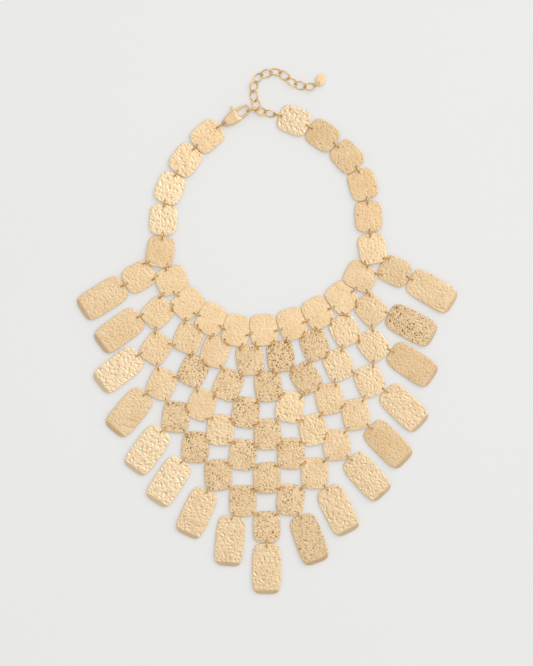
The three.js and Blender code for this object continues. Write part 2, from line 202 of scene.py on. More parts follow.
@dataclass(frozen=True)
class HammeredGold:
    """Plated sheet with a hammered, satin face; each plate carries its own painted sheen, satin and specks.

    Clouds, patches, grain and pitting are noises, in repeats a metre. The dark colour of the small
    dents is painted shade; gather is how much more of it stands in the deep hammer marks, and bare
    the share of it outside the patches. Each plate's painted sheen lightens or darkens its gold as
    painted reflection. Uneven and dulling are how much the grain and a full satin change the roughness.
    """

    name: str = "hammered_gold"
    light: tuple[float, ...] = rgba(0.95, 0.745, 0.49)
    deep: tuple[float, ...] = rgba(0.75, 0.505, 0.265)
    # painted shade: the dark colour laid into small dents and deep hammer marks
    pit_shade: tuple[float, ...] = rgba(0.26, 0.14, 0.04)
    clouds: float = 108.0
    patches: float = 144.0
    grain: float = 900.0
    pitting: float = 1440.0
    gather: float = 0.18
    bare: float = 0.35
    roughness: float = 0.28
    uneven: float = 0.16
    dulling: float = 0.22
    relief: float = 0.00015

    def material(self) -> Any:
        """Builds the material.

        The colour runs from light to deep with clouds and grain, and lighter with the plate's painted
        sheen, a painted reflection. Dark specks of painted shade stand where a fine noise is high, more
        of them in the deep hammer marks and in some patches; the same specks dent the bump. Grain and
        satin make the face rougher.

        Returns:
            The material.
        """
        made, shader = new_material(self.name)
        place = shader.place()
        cloud = shader.noise(place, self.clouds)
        grain = shader.noise(place, self.grain, 1.5, 0.4)
        fine = shader.noise(place, self.pitting, 2.0, 0.8)
        patch = shader.noise(place, self.patches, 1.0).between(0.3, 0.62)
        # painted shade: dark specks where the fine noise is high, gathered in the deep hammer marks
        dent_shade_mask = ((fine - 0.5) * 3.0 + shader.carried("crease") * self.gather).between(0.16, 0.6)
        dent_shade_mask = dent_shade_mask * shader.carried("specks") * (patch * (1 - self.bare) + self.bare)
        # the plate's painted sheen lightens or darkens the gold as painted reflection
        depth = (cloud - 0.5) * 0.5 + (grain - 0.5) * 0.5 + 0.5 - shader.carried("tone") * 0.5
        colour = shader.blend(depth.between(0.0, 1.0), self.light, self.deep)
        colour = shader.blend(dent_shade_mask, colour, self.pit_shade)
        rough = (grain - 0.5) * self.uneven + shader.carried("satin") * self.dulling + self.roughness
        bump = shader.bump(1.0, self.relief, grain - dent_shade_mask)
        shader.surface({"Base Color": colour, "Metallic": 1.0, "Roughness": rough, "Normal": bump})
        return made


@dataclass(frozen=True)
class PolishedGold:
    """Smooth bright plating of the rings, links, clasp and tag, a little duller in patches."""

    name: str = "polished_gold"
    light: tuple[float, ...] = rgba(0.88, 0.58, 0.21)
    deep: tuple[float, ...] = rgba(0.68, 0.40, 0.12)
    roughness: float = 0.24
    uneven: float = 0.2
    patches: float = 350.0
    scratches: float = 2800.0
    relief: float = 0.00002

    def material(self) -> Any:
        """Builds the material, with patches in colour and roughness and a very fine relief."""
        made, shader = new_material(self.name)
        place = shader.place()
        patch = shader.noise(place, self.patches, 3.0, 0.4)
        scratch = shader.noise(place, self.scratches, 1.0)
        colour = shader.blend(patch.between(0.3, 0.75), self.light, self.deep)
        rough = (patch - 0.5) * self.uneven + self.roughness
        bump = shader.bump(0.3, self.relief, scratch)
        shader.surface({"Base Color": colour, "Metallic": 1.0, "Roughness": rough, "Normal": bump})
        return made


@dataclass(frozen=True)
class PlasterFloor:
    """Pale matt floor with the faintest cloud in it, and a glow that keeps its shadows faint."""

    name: str = "pale_floor"
    light: tuple[float, ...] = rgba(0.42, 0.418, 0.412)
    dark: tuple[float, ...] = rgba(0.41, 0.408, 0.402)
    glow: tuple[float, ...] = rgba(1.0, 0.997, 0.985)
    glow_strength: float = 0.28
    clouds: float = 6.0
    roughness: float = 0.9

    def material(self) -> Any:
        """Builds the material."""
        made, shader = new_material(self.name)
        colour = shader.blend(shader.noise(shader.place(), self.clouds), self.light, self.dark)
        inputs = {"Base Color": colour, "Roughness": self.roughness}
        shader.surface(inputs | {"Emission Color": self.glow, "Emission Strength": self.glow_strength})
        return made


# ---------- meshes ----------


@dataclass
class Shell:
    """One closed surface of four-sided faces, with what its finish reads."""

    places: Array
    faces: Array
    finish: int = 0
    # the plate's painted sheen is painted reflection; specks and crease set where painted shade stands
    tone: float = 0.0
    satin: float = 0.0
    specks: float = 0.0
    crease: Array | float = 0.0


def into_scene(name: str, data: Any) -> Any:
    """Makes an object of the data and puts it into the scene."""
    made = bpy.data.objects.new(name, data)
    bpy.context.scene.collection.objects.link(made)
    return made


def grid_faces(rows: int, columns: int, around: bool = False, along: bool = False) -> Array:
    """Faces of a rows by columns grid of points, closed around its columns or along its rows if asked."""
    i = np.arange(rows if along else rows - 1)[:, None]
    j = np.arange(columns if around else columns - 1)[None, :]
    after, beside = (i + 1) % rows, (j + 1) % columns
    corners = (i * columns + j, after * columns + j, after * columns + beside, i * columns + beside)
    return np.stack(np.broadcast_arrays(*corners), axis=-1).reshape(-1, 4)


def make_piece(name: str, shells: Sequence[Shell], finishes: Sequence[Any]) -> Any:
    """Joins shells into one object.

    Args:
        name: The object's name.
        shells: The closed surfaces, in metres.
        finishes: Materials, by the number that each shell gives.

    Returns:
        The object, at the origin.
    """
    starts = np.cumsum([0, *(len(shell.places) for shell in shells[:-1])])
    places = np.concatenate([shell.places for shell in shells])
    faces = np.concatenate([shell.faces + start for shell, start in zip(shells, starts)])
    mesh = bpy.data.meshes.new(name)
    mesh.vertices.add(len(places))
    mesh.vertices.foreach_set("co", places.astype(np.float32).ravel())
    mesh.loops.add(faces.size)
    mesh.loops.foreach_set("vertex_index", faces.astype(np.int32).ravel())
    mesh.polygons.add(len(faces))
    mesh.polygons.foreach_set("loop_start", np.arange(0, faces.size, 4, dtype=np.int32))
    slots = np.repeat([shell.finish for shell in shells], [len(shell.faces) for shell in shells])
    for finish in finishes:
        mesh.materials.append(finish)
    mesh.polygons.foreach_set("material_index", slots.astype(np.int32))
    mesh.polygons.foreach_set("use_smooth", np.ones(len(faces), dtype=bool))
    mesh.update(calc_edges=True)
    for key in ("tone", "satin", "specks", "crease"):
        parts = [np.broadcast_to(getattr(shell, key), len(shell.places)) for shell in shells]
        values = np.concatenate(parts).astype(np.float32)
        mesh.attributes.new(key, "FLOAT", "POINT").data.foreach_set("value", values)
    mesh.set_sharp_from_angle(angle=SHARP)
    mesh.validate()
    return into_scene(name, mesh)


def settle(piece: Any, body: str, slot: str, *nodes: str) -> Any:
    """Rides a piece on its body and hides the solids that it stands for."""
    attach(piece, body)
    if nodes:
        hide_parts(*nodes)
    log.info("%s: %d faces", piece.name, len(piece.data.polygons))
    return piece


def turned(about: str, degrees: float) -> Array:
    """Matrix of a turn about one axis; its columns are the turned axes."""
    c, s = math.cos(math.radians(degrees)), math.sin(math.radians(degrees))
    rows = {
        "x": [[1, 0, 0], [0, c, -s], [0, s, c]],
        "y": [[c, 0, s], [0, 1, 0], [-s, 0, c]],
        "z": [[c, -s, 0], [s, c, 0], [0, 0, 1]],
    }
    return np.array(rows[about], dtype=float)


def unit(vector: Array) -> Array:
    """The vector at length 1."""
    return vector / np.linalg.norm(vector)


# ---------- reading the solids ----------


@dataclass
class Solid:
    """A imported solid's triangles with their equal corners shared.

    A face is level if the upward part of its normal is more than this share.
    """

    name: str
    level: float = 0.985
    corners: Array = field(init=False)
    triangles: Array = field(init=False)

    def __post_init__(self) -> None:
        """Copies the mesh of the node and shares its corners to a thousandth of a millimetre."""
        mesh = bpy.data.objects[self.name].data
        mesh.calc_loop_triangles()
        loose = np.empty(len(mesh.vertices) * 3, dtype=np.float32)
        mesh.vertices.foreach_get("co", loose)
        index = np.empty(len(mesh.loop_triangles) * 3, dtype=np.int32)
        mesh.loop_triangles.foreach_get("vertices", index)
        loose = loose.reshape(-1, 3).astype(float)
        _, first, shared = np.unique(np.round(loose, 6), axis=0, return_index=True, return_inverse=True)
        self.corners = loose[first]
        self.triangles = shared.ravel()[index].reshape(-1, 3)

    def flat_tops(self, least: float) -> list[tuple[Array, Array]]:
        """Finds the flat faces that point up.

        Triangles that point nearly straight up and share corners are one face: each corner
        takes the lowest number among its triangles' corners until no number changes.

        Args:
            least: Least area of a face, in square metres.

        Returns:
            For each face its corners and its normal.
        """
        a, b, c = (self.corners[self.triangles[:, k]] for k in range(3))
        cross = np.cross(b - a, c - a)
        area = np.linalg.norm(cross, axis=1) / 2
        flat = cross[:, 2] / np.maximum(2 * area, 1e-15) > self.level
        chosen, cross, area = self.triangles[flat], cross[flat], area[flat]
        label = np.arange(len(self.corners))
        while True:
            lowest = label[chosen].min(axis=1)
            before = label.copy()
            for k in range(3):
                np.minimum.at(label, chosen[:, k], lowest)
            if (label == before).all():
                break
        owner = label[chosen[:, 0]]
        faces = []
        for number in np.unique(owner):
            mine = owner == number
            if area[mine].sum() > least:
                faces.append((self.corners[np.unique(chosen[mine])], unit(cross[mine].sum(axis=0))))
        return faces


# ---------- plates ----------


class Role(Enum):
    """What a plate does, with the ring holes that it may have; what hangs lower comes later."""

    NECK = ("top", "bottom")
    FORK = ("top", "bottom_left", "bottom_right")
    COLLAR = ("left", "right", "bottom_left", "bottom_right")
    SIDE = ("top_left", "top_right", "bottom")
    NET = ("top_left", "top_right", "bottom_left", "bottom_right", "bottom")
    DROP = ("hang",)


# Roles by the first part of a node's name; the first that fits holds.
ROLE_OF = {
    "neck_plate_left_5": Role.FORK,
    "neck_plate_right_6": Role.FORK,
    "neck_plate": Role.NECK,
    "collar": Role.COLLAR,
    "side": Role.SIDE,
    "net": Role.NET,
    "drop": Role.DROP,
}

# Ring holes in a plate's own plane, in millimetres: across to the right, and towards its upper end.
HOLES = {
    "top": (0.0, 8.0),
    "bottom": (0.0, -8.0),
    "left": (-6.9, -1.2),
    "right": (6.9, -1.2),
    "top_left": (-5.4, 7.0),
    "top_right": (5.4, 7.0),
    "bottom_left": (-5.6, -7.0),
    "bottom_right": (5.6, -7.0),
    "hang": (0.0, 13.6),
}


class Look(Enum):
    """A plate's hammering and painted light: height of the marks in millimetres, spread, painted sheen (a
    painted reflection that lightens or darkens its gold), satin, and the share of painted dark specks.
    """

    EVEN = (0.052, 1.0, 0.0, 0.3, 0.25)
    BRIGHT = (0.1, 1.25, 0.6, 0.0, 0.05)
    LIVELY = (0.075, 1.2, 0.2, 0.12, 0.15)
    MATT = (0.037, 1.0, -0.22, 0.5, 0.3)
    SPECKLED = (0.062, 1.0, -0.1, 0.3, 1.15)
    FLECKED = (0.055, 1.0, -0.05, 0.3, 0.8)
    CALM = (0.034, 1.0, -0.05, 0.38, 0.1)


# Plates that differ from the even look, by node, or by row and place in it from the left.
# Each look also sets a plate's painted sheen and its share of painted dark specks.
LOOKS = {
    Look.BRIGHT: "neck_plate_right_1 neck_plate_left_3 neck_plate_left_4 drop_left_3 drop_left_5 "
    "drop_left_6",
    Look.LIVELY: "neck_plate_left_2 drop_left_7 drop_left_8 drop_center drop_right_7 drop_right_6 "
    "drop_right_4 B7 C6 C7 D4 D6 E2 E4",
    Look.MATT: "neck_plate_left_5 neck_plate_right_2 neck_plate_right_3 neck_plate_right_4 "
    "neck_plate_right_5 drop_right_3 drop_right_5",
    Look.SPECKLED: "drop_right_2 B5 C2 D3 F1",
    Look.FLECKED: "drop_right_8 B4 B6 C3 C4 C5 E1 E3 F2 F3 G1 G2 H1 H2 I1",
    Look.CALM: "A1 A2 A3 A4 A5 A6 A7 A8 A9 B3 D2",
}
LOOK_OF = {name: look for look, names in LOOKS.items() for name in names.split()}


@dataclass
class Plate:
    """One plate: its own frame at the middle of its upper face, and the holes that rings use."""

    node: str
    role: Role
    centre: Array
    axes: Array
    name: str = ""
    used: list[str] = field(default_factory=list)

    def world(self, local: Array) -> Array:
        """Carries points from the plate's frame to the necklace's."""
        return self.centre + local @ self.axes.T

    def hole(self, key: str, thickness: float) -> Array:
        """Middle of a hole, half-way through the sheet, in metres."""
        x, y = HOLES[key]
        return self.world(np.array([x, y, -thickness / 2]) * MM)

    def look(self) -> Look:
        """The look of the plate's place in the net, or else that of its node."""
        return LOOK_OF.get(self.name) or LOOK_OF.get(self.node) or Look.EVEN


@dataclass
class HammerField:
    """Hammer marks as a repeating height field, read at any place.

    Random numbers are filtered to a band of wave lengths by their Fourier transform, once for
    each of a few ways, with waves stretched along the way. A slow random mix picks the way from
    place to place. The result is folded at zero, so that broad dents meet in narrow crooked
    ridges. Lengths are in millimetres; cells is their number along each side. Choice is how
    clearly one way wins; slope and fold shape the ridges.
    """

    cells: int = 360
    cell: float = 0.16
    shortest: float = 0.95
    longest: float = 2.8
    stretch: float = 1.9
    ways: int = 4
    slowest: float = 6.0
    choice: float = 2.5
    slope: float = 0.45
    fold: float = 0.85
    seed: int = 41
    height: Array = field(init=False)

    def __post_init__(self) -> None:
        """Works out the heights, with a mean of 0 and a spread of 1."""
        random = np.random.default_rng(self.seed)
        wave = np.fft.fftfreq(self.cells, self.cell)
        u, v = np.meshgrid(wave, wave, indexing="ij")
        slow = np.exp(-((np.hypot(u, v) * self.slowest) ** 2))
        total, weight = np.zeros_like(u), np.zeros_like(u)
        for way in np.arange(self.ways) * math.pi / self.ways:
            along, across = u * math.cos(way) + v * math.sin(way), v * math.cos(way) - u * math.sin(way)
            speed = np.hypot(across, along * self.stretch)
            band = np.exp(-((speed * self.shortest) ** 4)) * (1 - np.exp(-((speed * self.longest) ** 4)))
            share = np.exp(self.choice * self.filtered(random, slow))
            total += self.filtered(random, band) * share
            weight += share**2
        smooth = total / np.sqrt(weight)
        self.height = smooth * self.slope - np.abs(smooth) ** self.fold
        self.height -= self.height.mean()
        self.height /= self.height.std()

    @staticmethod
    def filtered(random: Any, band: Array) -> Array:
        """Random numbers of spread 1 that hold only the waves of a band."""
        field_of = np.fft.ifft2(np.fft.fft2(random.standard_normal(band.shape)) * band).real
        return field_of / field_of.std()

    def at(self, x: Array, y: Array) -> Array:
        """Height at places in millimetres, read between the four nearest cells."""
        n = self.cells
        u, v = (x / self.cell) % n, (y / self.cell) % n
        i, j = np.floor(u).astype(int), np.floor(v).astype(int)
        fu, fv = u - i, v - j
        i, j = i % n, j % n
        near = self.height[i, j] * (1 - fv) + self.height[i, (j + 1) % n] * fv
        far = self.height[(i + 1) % n, j] * (1 - fv) + self.height[(i + 1) % n, (j + 1) % n] * fv
        return near * (1 - fu) + far * fu


@dataclass(frozen=True)
class CushionSheet:
    """A sheet whose outline is a superellipse, with round holes, a soft edge and hammer marks.

    Sizes are in millimetres. Edge is the rounding's width, with grid lines at the given shares of
    it; hole is a radius; cell is the grid's; a lip is turned down at its angle, round the bend.
    The marks weaken over the calm widths, down to a share of their height at the edge, round a
    hole and on the lip; back_marks is their share on the back.
    """

    width: float = 16.5
    length: float = 18.9
    power: float = 3.7
    thickness: float = 0.8
    edge: float = 0.2
    edge_lines: tuple[float, ...] = (1.0, 0.45, 0.12, 0.0)
    crown: float = 0.12
    cell: float = 0.4
    hole: float = 0.72
    next_border: float = 0.9
    lip: float = 0.0
    lip_angle: float = 0.0
    bend: float = 1.4
    calm_edge: float = 0.9
    calm_hole: float = 0.5
    calm_lip: float = 0.6
    edge_marks: float = 0.25
    hole_marks: float = 0.35
    lip_marks: float = 0.12
    back_marks: float = 0.5

    def steps(self, size: float) -> Array:
        """Places of the grid lines from -1 to 1, even inside and closer at the rounded edge."""
        half = size / 2
        close = self.edge * np.array(self.edge_lines)
        count = 2 * round((half - self.edge) / self.cell)
        inner = np.linspace(-(half - self.edge), half - self.edge, count + 1)[1:-1]
        right = half - close
        return np.concatenate([-right[::-1], inner, right]) / half

    def outline_map(self) -> tuple[Array, Array, Array]:
        """Spreads a square grid over the outline.

        A point of the square at distance r from the middle, counted by its larger coordinate,
        is drawn in so that the square's border lands on |x/a|^n + |y/b|^n = 1. The drawing in
        grows with the square of r, so the middle stays even.

        Returns:
            The x and y of each grid point in millimetres, and its r.
        """
        u, v = np.meshgrid(self.steps(self.width), self.steps(self.length), indexing="ij")
        r = np.maximum(np.abs(u), np.abs(v))
        powers = np.abs(u) ** self.power + np.abs(v) ** self.power
        reach = np.where(r > 0, r / np.maximum(powers, 1e-30) ** (1 / self.power), 1.0)
        shrink = 1 + (reach - 1) * r**2
        return u * shrink * self.width / 2, v * shrink * self.length / 2, r

    def edge_drop(self, r: Array) -> Array:
        """How far the face falls at the rounded edge: a quarter circle over the last stretch."""
        inside = np.minimum((1 - r) * self.width / 2 / self.edge, 1.0)
        return self.edge * (1 - np.sqrt(np.maximum(1 - (1 - inside) ** 2, 0)))

    def turn_lip(self, local: Array) -> Array:
        """Turns the lower lip down: points past the bend go round an arc, then straight on."""
        if self.lip == 0:
            return local
        start = -self.length / 2 + self.lip
        past = np.maximum(start - local[:, 1], 0)
        angle = math.radians(self.lip_angle)
        arc = np.minimum(past / self.bend, angle)
        rest = np.maximum(past - self.bend * angle, 0)
        radius = self.bend + local[:, 2]
        y = np.where(past > 0, start - radius * np.sin(arc) - rest * math.cos(angle), local[:, 1])
        z = np.where(past > 0, radius * np.cos(arc) - self.bend - rest * math.sin(angle), local[:, 2])
        return np.stack([local[:, 0], y, z], axis=1)

    def punch(self, x: Array, y: Array, holes: Sequence[Any]) -> tuple[Array, list[Array]]:
        """Fits the grid to the round holes.

        Each hole is a block of four by four cells whose border is drawn onto the hole's circle,
        and the next border onto a circle that is wider by a share of a cell.

        Args:
            x: The grid points' x in millimetres, changed in place.
            y: Their y, changed in place.
            holes: Middles of the holes in millimetres.

        Returns:
            Which cells stay, and the numbers of the points round each hole.
        """
        rows, columns = x.shape
        keep = np.ones((rows - 1, columns - 1), dtype=bool)
        rims: list[Array] = []
        for hx, hy in holes:
            i, j = np.unravel_index(np.argmin(np.hypot(x - hx, y - hy)), x.shape)
            for reach, radius in ((3, self.hole + self.cell * self.next_border), (2, self.hole)):
                across = np.arange(-reach, reach + 1)
                di, dj = np.meshgrid(across, across, indexing="ij")
                border = np.maximum(np.abs(di), np.abs(dj)) == reach
                bi, bj = i + di[border], j + dj[border]
                way = np.arctan2(dj[border], di[border])
                x[bi, bj] = hx + radius * np.cos(way)
                y[bi, bj] = hy + radius * np.sin(way)
            keep[i - 2 : i + 2, j - 2 : j + 2] = False
            rims.append((bi * columns + bj)[np.argsort(way)])
        return keep, rims

    def calm(self, x: Array, y: Array, r: Array, holes: Sequence[Any]) -> Array:
        """How strong the marks are: weaker near the edge, round the holes and on the lip."""
        inside = np.clip((1 - r) * self.width / 2 / self.calm_edge, 0, 1)
        within_rim = r < 0.999
        share = inside * (1 - self.edge_marks) + self.edge_marks * within_rim
        if self.lip:
            above = (y + self.length / 2 - self.lip) / self.calm_lip + 0.5
            share = share * np.clip(above, self.lip_marks, 1)
        away = np.ones_like(x)
        for hx, hy in holes:
            away *= np.clip((np.hypot(x - hx, y - hy) - self.hole) / self.calm_hole, 0, 1)
        return share * (self.hole_marks + (1 - self.hole_marks) * away)

    def surface(
        self,
        holes: Sequence[tuple[float, float]],
        marks: HammerField,
        strength: float,
        spread: float,
        seed: int,
    ) -> tuple[Array, Array, Array]:
        """Works out the sheet.

        The face and the back share one grid. The face is the crown plus the marks, and falls at
        the rounded edge; the back follows it with lower marks and rises there. Walls join them
        at the outline and in the holes.

        Args:
            holes: Middles of the holes in millimetres.
            marks: The hammer marks.
            strength: Height of the marks in millimetres.
            spread: How much wider than the field's own the marks are.
            seed: Number that gives the sheet its own stretch of the marks.

        Returns:
            Points in millimetres in the sheet's frame, faces, and how deep each point's mark is.
        """
        x, y, r = self.outline_map()
        keep, rims = self.punch(x, y, holes)
        random = np.random.default_rng(seed)
        spin = random.uniform(0, 2 * math.pi)
        shift = random.uniform(0, marks.cells * marks.cell, 2)
        mx = x * math.cos(spin) - y * math.sin(spin) + shift[0]
        my = x * math.sin(spin) + y * math.cos(spin) + shift[1]
        mark = marks.at(mx / spread, my / spread) * self.calm(x, y, r, holes)
        height = mark * strength
        dome = self.crown * (1 - (x / self.width * 2) ** 2) * (1 - (y / self.length * 2) ** 2)
        drop = self.edge_drop(r)
        sides = (height + dome - drop, height * self.back_marks + dome - self.thickness + drop)
        points = np.concatenate([np.stack([x, y, side], axis=-1).reshape(-1, 3) for side in sides])
        rows, columns = x.shape
        count = rows * columns
        cells = grid_faces(rows, columns)[keep.ravel()]
        number = np.arange(count).reshape(rows, columns)
        border = np.concatenate([number[:-1, 0], number[-1, :-1], number[:0:-1, -1], number[0, :0:-1]])
        walls = [self.wall(loop, count) for loop in (border, *(rim[::-1] for rim in rims))]
        faces = np.concatenate([cells, cells[:, ::-1] + count, *walls])
        return self.turn_lip(points), faces, np.tile(-mark.ravel(), 2)

    @staticmethod
    def wall(loop: Array, count: int) -> Array:
        """Faces between a closed loop of the face and the same loop of the back."""
        after = np.roll(loop, -1)
        return np.stack([loop, loop + count, after + count, after], axis=1)


# ---------- rings and links ----------


def oval_wire(a: float, b: float, wire: float, around: int, section: int) -> tuple[Array, Array]:
    """Works out a closed oval of round wire.

    The middle line is an ellipse in the first two axes. At each of its points the wire's circle
    stands across the line, between the outward way of the ellipse and the third axis.

    Args:
        a: Half the middle line's length in millimetres, along the first axis.
        b: Half its width.
        wire: Thickness of the wire.
        around: Points round the oval.
        section: Points round the wire.

    Returns:
        Points in millimetres and faces.
    """
    u = np.linspace(0, 2 * math.pi, around, endpoint=False)
    v = np.linspace(0, 2 * math.pi, section, endpoint=False)
    line = np.stack([a * np.cos(u), b * np.sin(u), 0 * u], axis=1)
    out = np.stack([b * np.cos(u), a * np.sin(u), 0 * u], axis=1)
    out /= np.linalg.norm(out, axis=1, keepdims=True)
    circle = out[:, None, :] * np.cos(v)[None, :, None] + UP * np.sin(v)[None, :, None]
    points = (line[:, None, :] + circle * wire / 2).reshape(-1, 3)
    return points, grid_faces(around, section, True, True)[:, ::-1]


def main_axes(points: Array, middle: Array) -> Array:
    """The axes of a cloud of points as columns, from the narrowest way to the longest."""
    return np.linalg.eigh((points - middle).T @ (points - middle))[1]


@dataclass(frozen=True)
class WireRing:
    """A ring of round wire that stands on edge through two holes and bulges upwards."""

    radius: float = 2.15
    wire: float = 0.8
    around: int = 26
    section: int = 9

    def frame(self, start: Array, end: Array) -> tuple[Array, Array, Array]:
        """Middle of the ring, its way along the two holes, and its upward way, all in metres."""
        along = unit(end - start)
        half = float(np.linalg.norm(end - start)) / 2
        up = unit(UP - along * along[2])
        rise = math.sqrt(max((self.radius * MM) ** 2 - half**2, 0))
        return (start + end) / 2 + up * rise, along, up

    def shell(self, start: Array, end: Array, finish: int) -> Shell:
        """Works out the ring: a round oval of wire through both places, standing on edge."""
        middle, along, up = self.frame(start, end)
        axes = np.stack([along, up, np.cross(along, up)], axis=1)
        points, faces = oval_wire(self.radius, self.radius, self.wire, self.around, self.section)
        return Shell(middle + points @ axes.T * MM, faces, finish)


@dataclass(frozen=True)
class OvalLink:
    """An oval chain link of round wire; clearance is how far inside its end the next ring runs."""

    length: float = 7.8
    width: float = 6.0
    wire: float = 0.95
    clearance: float = 0.75
    around: int = 40
    section: int = 12

    def frame(self, solid: Solid) -> tuple[Array, Array]:
        """Reads the link's middle and its axes from its solid: longest, middle and shortest."""
        middle = solid.corners.mean(axis=0)
        _, short, long = main_axes(solid.corners, middle).T
        return middle, np.stack([long, short, np.cross(long, short)], axis=1)

    def end_inside(self, solid: Solid, towards: Array) -> Array:
        """The point inside the end wire, clear of it, on the side of a given place."""
        middle, axes = self.frame(solid)
        reach = (self.length / 2 - self.wire - self.clearance) * MM
        way = axes[:, 0] * np.sign(np.dot(towards - middle, axes[:, 0]))
        flat = unit(way * np.array([1, 1, 0]))
        return middle + flat * reach

    def shell(self, solid: Solid) -> Shell:
        """Works out the link in its solid's place."""
        middle, axes = self.frame(solid)
        a, b = (self.length - self.wire) / 2, (self.width - self.wire) / 2
        points, faces = oval_wire(a, b, self.wire, self.around, self.section)
        return Shell(middle + points @ axes.T * MM, faces)


# ---------- clasp and tag ----------


def smooth_loop(corners: Sequence[tuple[float, float]], count: int, fine: int = 24) -> Array:
    """Runs a smooth closed line through corners.

    Each stretch is a Catmull-Rom cubic through its two corners, with the slopes that its
    neighbours give, and the line is then shared out evenly by its length.

    Args:
        corners: The corners in millimetres, in order.
        count: How many points to hand back.
        fine: How many points each stretch is first worked out at.

    Returns:
        The points.
    """
    p1 = np.array(corners, dtype=float)[:, None, :]
    p0, p2, p3 = np.roll(p1, 1, axis=0), np.roll(p1, -1, axis=0), np.roll(p1, -2, axis=0)
    t = np.linspace(0, 1, fine, endpoint=False)[None, :, None]
    cubic = 2 * p1 + (p2 - p0) * t + (2 * p0 - 5 * p1 + 4 * p2 - p3) * t**2
    line = ((cubic + (3 * p1 - p0 - 3 * p2 + p3) * t**3) / 2).reshape(-1, 2)
    closed = np.concatenate([line, line[:1]])
    walked = np.concatenate([[0], np.cumsum(np.linalg.norm(np.diff(closed, axis=0), axis=1))])
    stops = np.linspace(0, walked[-1], count, endpoint=False)
    return np.stack([np.interp(stops, walked, closed[:, k]) for k in range(2)], axis=1)


def eased(share: Array) -> Array:
    """Runs smoothly from 0 to 1 with the share, level at both ends."""
    share = np.clip(share, 0, 1)
    return share**2 * (3 - 2 * share)


def pillow_ring(outer: Array, inner: Array, height: Any, edge: float, steps: int) -> tuple[Array, Array]:
    """Works out a rounded body between an outer and an inner loop.

    The upper face is a grid from the inner loop to the outer one. It rises over the edge width
    as a quarter ellipse and is level between; the under side mirrors it.

    Args:
        outer: The outer loop in millimetres.
        inner: The inner loop, point for point.
        height: Gives half the thickness from each point's x.
        edge: How wide the rounding is.
        steps: Grid lines from loop to loop.

    Returns:
        Points in millimetres and faces.
    """
    share = ((1 - np.cos(np.linspace(0, math.pi, steps))) / 2)[:, None, None]
    flat = inner[None] * (1 - share) + outer[None] * share
    gaps = [np.linalg.norm(flat[:, :, None] - rim, axis=-1).min(axis=-1) for rim in (outer, inner)]
    near = np.minimum(np.minimum(*gaps) / edge, 1)
    near[0] = near[-1] = 0
    z = height(flat[..., 0]) * np.sqrt(1 - (1 - near) ** 2)
    top = np.concatenate([flat, z[..., None]], axis=-1)
    low = top[-2:0:-1] * np.array([1, 1, -1])
    grid = np.concatenate([top, low])
    return grid.reshape(-1, 3), grid_faces(len(grid), len(outer), True, True)


@dataclass(frozen=True)
class LobsterClasp:
    """The clasp: a rounded body with an opening at its nose, and a sprung lever on a pin.

    Millimetres in the clasp's own plane: x from the tail to the nose, y to the lever's side. Arm
    and belly are half the thickness at the ends and in the middle, tail and nose the start and
    the run of the change between them. Slot and lever are half the thickness of the lever's slot
    and of the lever. The slot runs from behind the pin, and the gate's room over the hook.
    """

    turn: float = 31.0
    tilt: float = 3.0
    pivot: tuple[float, float] = (8.4, 2.5)
    eye: tuple[float, float] = (1.1, 0.0)
    eye_hole: float = 1.0
    arm: float = 1.0
    belly: float = 1.6
    tail: tuple[float, float] = (-0.5, 3.5)
    nose: tuple[float, float] = (10.2, 1.6)
    edge: float = 0.85
    slot: float = 1.0
    slot_behind: float = 1.6
    slot_under: float = 1.7
    slot_end: float = 12.8
    gate_from: float = 11.0
    gate_to: float = 17.9
    gate_floor: float = 1.2
    outside: float = 8.0
    through: float = 3.0
    lever: float = 0.68
    lever_rim: float = 0.28
    pin: float = 0.45
    pin_proud: float = 0.02
    pin_rim: float = 0.12
    around: int = 96
    steps: int = 15
    gate_points: int = 90
    outline: tuple[tuple[float, float], ...] = (
        (-0.45, 0), (0.4, 1.45), (3, 2.85), (7, 3.85), (11, 4.15), (15, 4.05), (18, 3.2), (19.5, 0.8),
        (18.8, -1.75), (15.6, -3.05), (11.5, -3.45), (7.5, -3.75), (3.2, -3.05), (0.5, -1.45),
    )
    opening: tuple[tuple[float, float], ...] = (
        (11.3, -0.6), (11.7, 1.6), (14, 2.4), (17, 2.2), (18.2, 0.4), (17.3, -1.1), (14.5, -1.6), (12, -1.4),
    )
    gate: tuple[tuple[float, float], ...] = (
        (7.3, 1.9), (8.4, 1.35), (9.6, 1.7), (11.5, 2.35), (14.5, 2.3), (17.5, 2.25), (17.5, 3.1),
        (15, 3.8), (11.4, 4.1), (10.95, 5.2), (10.8, 6.3), (10, 6.75), (9.3, 6.2), (9.25, 5.0), (9.1, 3.9),
        (8.2, 3.6), (7.2, 3.1),
    )

    def frame(self, joint: dict[str, Any]) -> tuple[Array, Array]:
        """The clasp's origin and axes, worked back from the lever's hinge."""
        axes = turned("z", self.turn) @ turned("y", -self.tilt)
        return np.array(joint["pos_m"]) - axes @ np.array([*self.pivot, 0.0]) * MM, axes

    def half_height(self, x: Array) -> Array:
        """Half the thickness along the clasp: thin at the tail, full at the belly, thin at the nose."""
        tail, nose = (eased((x - start) / run) for start, run in (self.tail, self.nose))
        belly = self.arm + (self.belly - self.arm) * tail
        return belly + (self.arm - belly) * nose

    def body(self) -> tuple[Array, Array]:
        """Points and faces of the body before its slot is cut."""
        outer, inner = (smooth_loop(corners, self.around) for corners in (self.outline, self.opening))
        return pillow_ring(outer, self.matched(outer, inner), self.half_height, self.edge, self.steps)

    @staticmethod
    def matched(outer: Array, inner: Array) -> Array:
        """Orders the inner loop so that its points face those of the outer loop."""
        heading = np.unwrap(np.arctan2(*(outer - inner.mean(axis=0)).T[::-1]))
        own = np.arctan2(*(inner - inner.mean(axis=0)).T[::-1])
        order = np.argsort(own)
        own, inner = own[order], inner[order]
        wrapped = (heading + math.pi) % (2 * math.pi) - math.pi
        ring = np.concatenate([own - 2 * math.pi, own, own + 2 * math.pi])
        points = np.tile(inner, (3, 1))
        return np.stack([np.interp(wrapped, ring, points[:, k]) for k in range(2)], axis=1)


